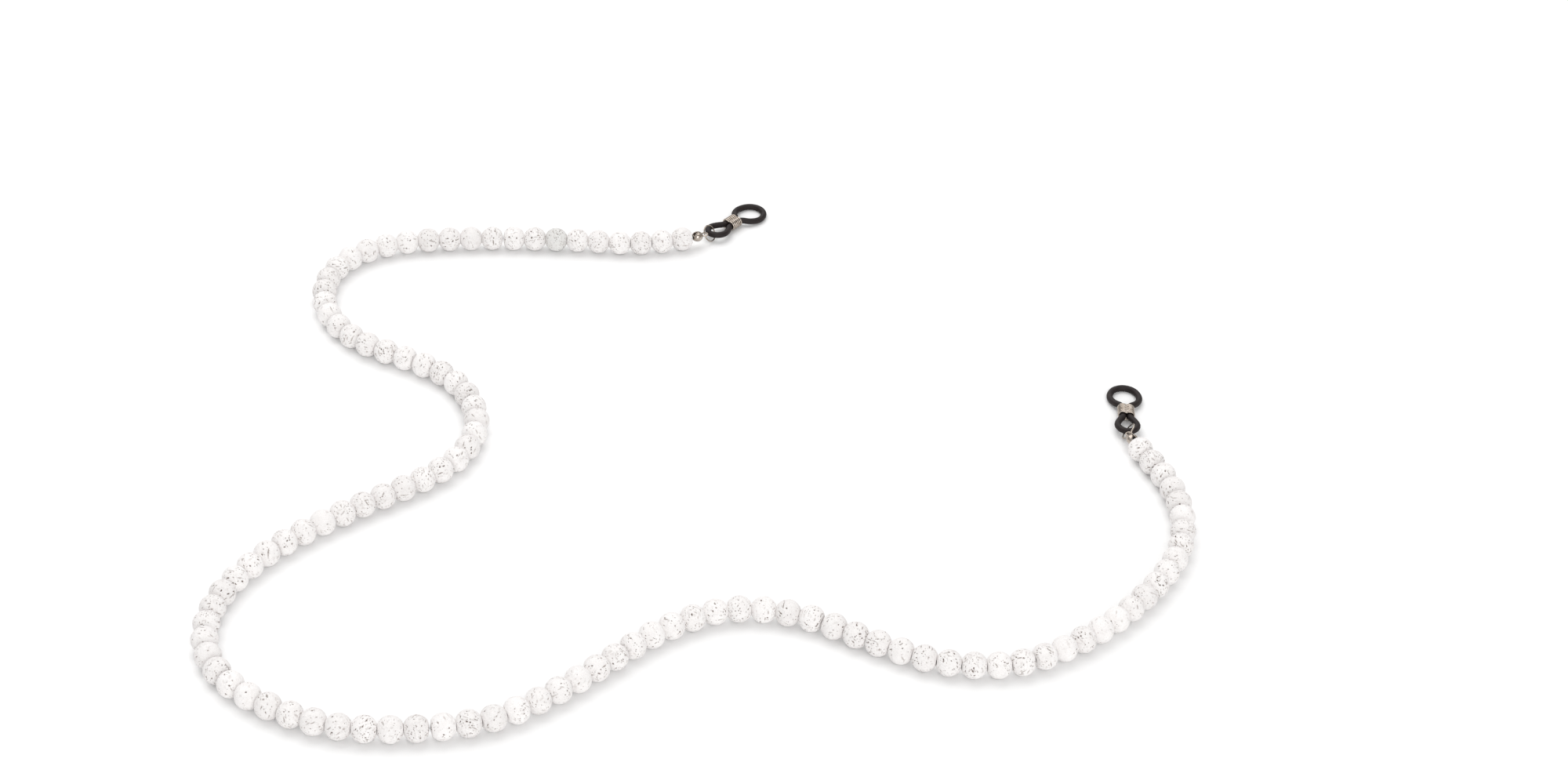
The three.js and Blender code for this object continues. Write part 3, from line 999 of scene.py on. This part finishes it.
def make_tip(side, place):
    """The clamshell end cap that holds the knot, with the hook for the jump ring."""
    belongs = (f"tip_{side}", f"bead_tip_{side}", "nickel_silver")
    for word, way in (("near", 1), ("far", -1)):
        points, faces = shell_half(way)
        cup = mesh_object(f"clamshell_{word}_{side}", put(points, place), faces, METAL)
        thick = cup.modifiers.new("wall", "SOLIDIFY")
        thick.thickness = SHELL_THICKNESS
        thick.offset = -1
        thick.use_even_offset = True
        finish_piece(cup, *belongs)
    collar_line = [
        (COLLAR_X, COLLAR_RADIUS * math.cos(a), COLLAR_RADIUS * math.sin(a))
        for a in np.linspace(0, 2 * math.pi, COLLAR_STEPS, endpoint=False)
    ]
    points, faces = tube_mesh(collar_line, COLLAR_WIRE, 10, closed=True, first=(1, 0, 0))
    collar = mesh_object(f"clamshell_collar_{side}", put(points, place), faces, METAL)
    finish_piece(collar, *belongs)
    hook_line = [
        (
            HOOK_X + HOOK_RADIUS * math.cos(a), HOOK_RADIUS * math.sin(a),
            HOOK_RISE * k / HOOK_STEPS,
        )
        for k, a in enumerate(np.linspace(*HOOK_ENDS, HOOK_STEPS))
    ]
    line = np.vstack([spline_through(HOOK_NECK, 4)[:-1], np.array(hook_line)])
    points, faces = tube_mesh(line, HOOK_WIRE, 14)
    hook = mesh_object(f"tip_hook_{side}", put(points, place), faces, METAL)
    finish_piece(hook, *belongs)


def make_knot(side, place):
    """The end of the cord: it leaves the last bead and is knotted inside the clamshell."""
    t = np.linspace(0, 2 * math.pi, KNOT_STEPS)[KNOT_OPEN_STEPS:-KNOT_OPEN_STEPS]
    long, wide, high = KNOT_STRETCH
    knot = np.column_stack([
        KNOT_MIDDLE + (np.sin(t) + 2 * np.sin(2 * t)) * KNOT_SIZE * long,
        (np.cos(t) - 2 * np.cos(2 * t)) * KNOT_SIZE * wide,
        -np.sin(3 * t) * KNOT_SIZE * high,
    ]) * MM
    lead = spline_through([*KNOT_LEAD, knot[0]], 5)
    points, faces = joined([
        tube_mesh(lead, KNOT_LEAD_RADIUS, 12), tube_mesh(knot, KNOT_RADIUS, 12),
    ])
    piece = mesh_object(f"end_knot_{side}", put(points, place), faces, FIBRE)
    finish_piece(piece, f"tip_{side}", f"cord_end_{side}", "cord_fibre")
    return piece


def make_ring(side, place):
    """The jump ring: it slopes down from the hook and leans over, with its cut at the top."""
    drop = (BEAD_HEIGHT - RING_HEIGHT) / RING_RADIUS
    along = np.array((math.sqrt(1 - drop * drop), 0, -drop))
    lean = RING_LEANS[side]
    across = np.array((-along[2] * math.cos(lean), math.sin(lean), along[0] * math.cos(lean)))
    normal = np.cross(along, across)
    start = math.pi / 2 + RING_HALF_CUT
    angles = np.linspace(start, math.pi / 2 + 2 * math.pi - RING_HALF_CUT, RING_STEPS)
    line = [
        RING_RADIUS * (along * math.cos(a) + across * math.sin(a))
        + normal * RING_END_OFFSET * (k / (RING_STEPS - 1) - 0.5)
        for k, a in enumerate(angles)
    ]
    points, faces = tube_mesh(line, RING_WIRE, 18, first=normal)
    piece = mesh_object(f"jump_ring_wire_{side}", put(points, place), faces, METAL)
    finish_piece(piece, f"ring_{side}", f"jump_ring_{side}", "nickel_silver")


def loop_line():
    """The whole closed centreline of a rubber loop, in the frame at its apex, evenly smoothed."""
    other = [(x, -y, z) for x, y, z in LOOP_HALF[-2:0:-1]]
    line = spline_through([*LOOP_HALF, *other], LOOP_SPLINE_STEPS, closed=True)
    around = np.vstack([line, line[:1]])
    walked = np.concatenate([[0], np.cumsum(np.linalg.norm(np.diff(around, axis=0), axis=1))])
    even = np.linspace(0, walked[-1], LOOP_STEPS, endpoint=False)
    line = np.column_stack([np.interp(even, walked, around[:, axis]) for axis in range(3)])
    for _ in range(LOOP_SMOOTHING):
        line = (np.roll(line, 1, axis=0) + 2 * line + np.roll(line, -1, axis=0)) / 4
    return line


def half_loop(line, ring_side):
    """The part of the loop on one side of the coil's middle, as one open line."""
    keep = line[:, 0] < COIL_X if ring_side else line[:, 0] >= COIL_X
    start = next(i for i in range(len(line)) if keep[i] and not keep[i - 1])
    order = (start + np.arange(len(line))) % len(line)
    return line[order[:np.count_nonzero(keep)]]


def wobble_of(side):
    """A slight unevenness of the rubber's thickness, for tube_mesh."""
    seed = Vector(WOBBLE_SEEDS[side])

    def wobble(count, sides):
        return np.array([
            [
                WOBBLE_HEIGHT * noise.noise(
                    Vector((i * WOBBLE_STEP_ALONG, k * WOBBLE_STEP_ROUND, 0)) + seed
                )
                for k in range(sides)
            ]
            for i in range(count)
        ])

    return wobble


def make_loop(side, place):
    """The rubber loop, in two lengths that meet under the coil."""
    line = loop_line()
    loop, coil = f"loop_{side}", f"coil_{side}"
    for word, bodies, reach in (
        ("ring_side", (loop, coil), RING_SIDE_BLEND),
        ("temple_side", (coil, loop), TEMPLE_SIDE_BLEND),
    ):
        part = half_loop(line, word == "ring_side")
        under_coil = np.exp(-((part[:, 0] - COIL_X) / SQUEEZE_HALF_LENGTH) ** 4)
        radii = RUBBER_RADIUS * (1 - SQUEEZE * under_coil)
        points, faces = tube_mesh(part, radii, RUBBER_SIDES, wobble=wobble_of(side))
        piece = mesh_object(f"rubber_{word}_{side}", put(points, place), faces, RUBBER)
        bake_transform(piece)
        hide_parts(f"rubber_loop_{side}")


def round_both_legs(turns):
    """A place on the wire's way round both legs of the loop, after so many turns."""
    half_way = 2 * LEG_OFFSET + math.pi * WRAP_RADIUS
    at = (turns % 1) * 2 * half_way
    side = 1
    if at >= half_way:
        at -= half_way
        side = -1
    if at < 2 * LEG_OFFSET:
        y = at - LEG_OFFSET
        dip = WRAP_DIP * math.exp(-((y / WRAP_DIP_HALF_WIDTH) ** 2))
        return side * y, side * (WRAP_RADIUS - dip)
    angle = math.pi / 2 - (at - 2 * LEG_OFFSET) / WRAP_RADIUS
    y = LEG_OFFSET + WRAP_RADIUS * math.cos(angle)
    return side * y, side * WRAP_RADIUS * math.sin(angle)


def make_coil(side, place):
    """The sliding wire coil: close turns pulled tight round both legs, dipping in between them."""
    count = int(COIL_TURNS * COIL_STEPS_PER_TURN)
    length = COIL_TURNS * COIL_PITCH
    line = []
    for k in range(count + 1):
        t = k / count
        y, z = round_both_legs(t * COIL_TURNS + COIL_START)
        line.append((COIL_X + (t - 0.5) * length, y, z))
    points, faces = tube_mesh(line, COIL_WIRE, 14, first=(1, 0, 0))
    piece = mesh_object(f"coil_wire_{side}", put(points, place), faces, METAL)
    finish_piece(piece, f"coil_{side}", f"wire_coil_{side}", "nickel_silver")


def make_end(side):
    """All the fittings of one end. Gives the cord's knot back."""
    places = end_places(side)
    make_tip(side, places["tip"])
    knot = make_knot(side, places["tip"])
    make_ring(side, places["ring"])
    make_loop(side, places["loop"])
    make_coil(side, places["coil"])
    return knot


KNOTS = {side: make_end(side) for side in SIDES}


# ---------------------------------------------------------------- floor and light

FLOOR_HALF = 6.0
SURROUND_COLOUR = (1.0, 0.995, 0.99, 1)
SURROUND_STRENGTH = 0.54
KEY_LIGHT = {"place": (-0.42, 0.92, 1.6), "size": 2.2, "power": 28.2}
FILL_LIGHT = {"place": (0.45, -1.5, 0.85), "size": 1.3, "power": 14.4}


def floor_material():
    """Plain matte paper, with the faintest mottle."""
    material, tree, shader = nodes_of("floor_paper")
    place = place_on_piece(tree)
    paper = add(tree, "ShaderNodeTexNoise", Scale=900.0, Detail=3.0)
    tree.links.new(place, paper.inputs["Vector"])
    colour = ramp(tree, paper.outputs["Fac"], [
        (0.3, (0.935, 0.935, 0.935)), (0.7, (0.945, 0.945, 0.945)),
    ])
    tree.links.new(colour, shader.inputs["Base Color"])
    shader.inputs["Roughness"].default_value = 1.0
    shader.inputs["Specular IOR Level"].default_value = 0.0
    return material


def make_floor():
    """A plain pale floor, far wider than the view."""
    h = FLOOR_HALF
    corners = [(-h, -h, 0), (h, -h, 0), (h, h, 0), (-h, h, 0)]
    mesh_object("floor", corners, [(0, 1, 2, 3)], floor_material(), smooth=False)


def area_light(name, place, size, power):
    """A soft square light at place, facing the middle of the strap."""
    data = bpy.data.lights.new(name, "AREA")
    data.shape = "SQUARE"
    data.size = size
    data.energy = power
    light = bpy.data.objects.new(name, data)
    bpy.context.collection.objects.link(light)
    light.location = place
    light.rotation_euler = (-Vector(place)).to_track_quat("-Z", "Y").to_euler()


def make_light():
    """Soft studio light: a dim even surround, a broad key from the back left and a broad fill."""
    world = bpy.data.worlds.new("studio")
    bpy.context.scene.world = world
    world.use_nodes = True
    back = world.node_tree.nodes["Background"]
    back.inputs["Color"].default_value = SURROUND_COLOUR
    back.inputs["Strength"].default_value = SURROUND_STRENGTH
    area_light("key", **KEY_LIGHT)
    area_light("fill", **FILL_LIGHT)
    bpy.context.scene.view_settings.view_transform = "Standard"


make_floor()
make_light()
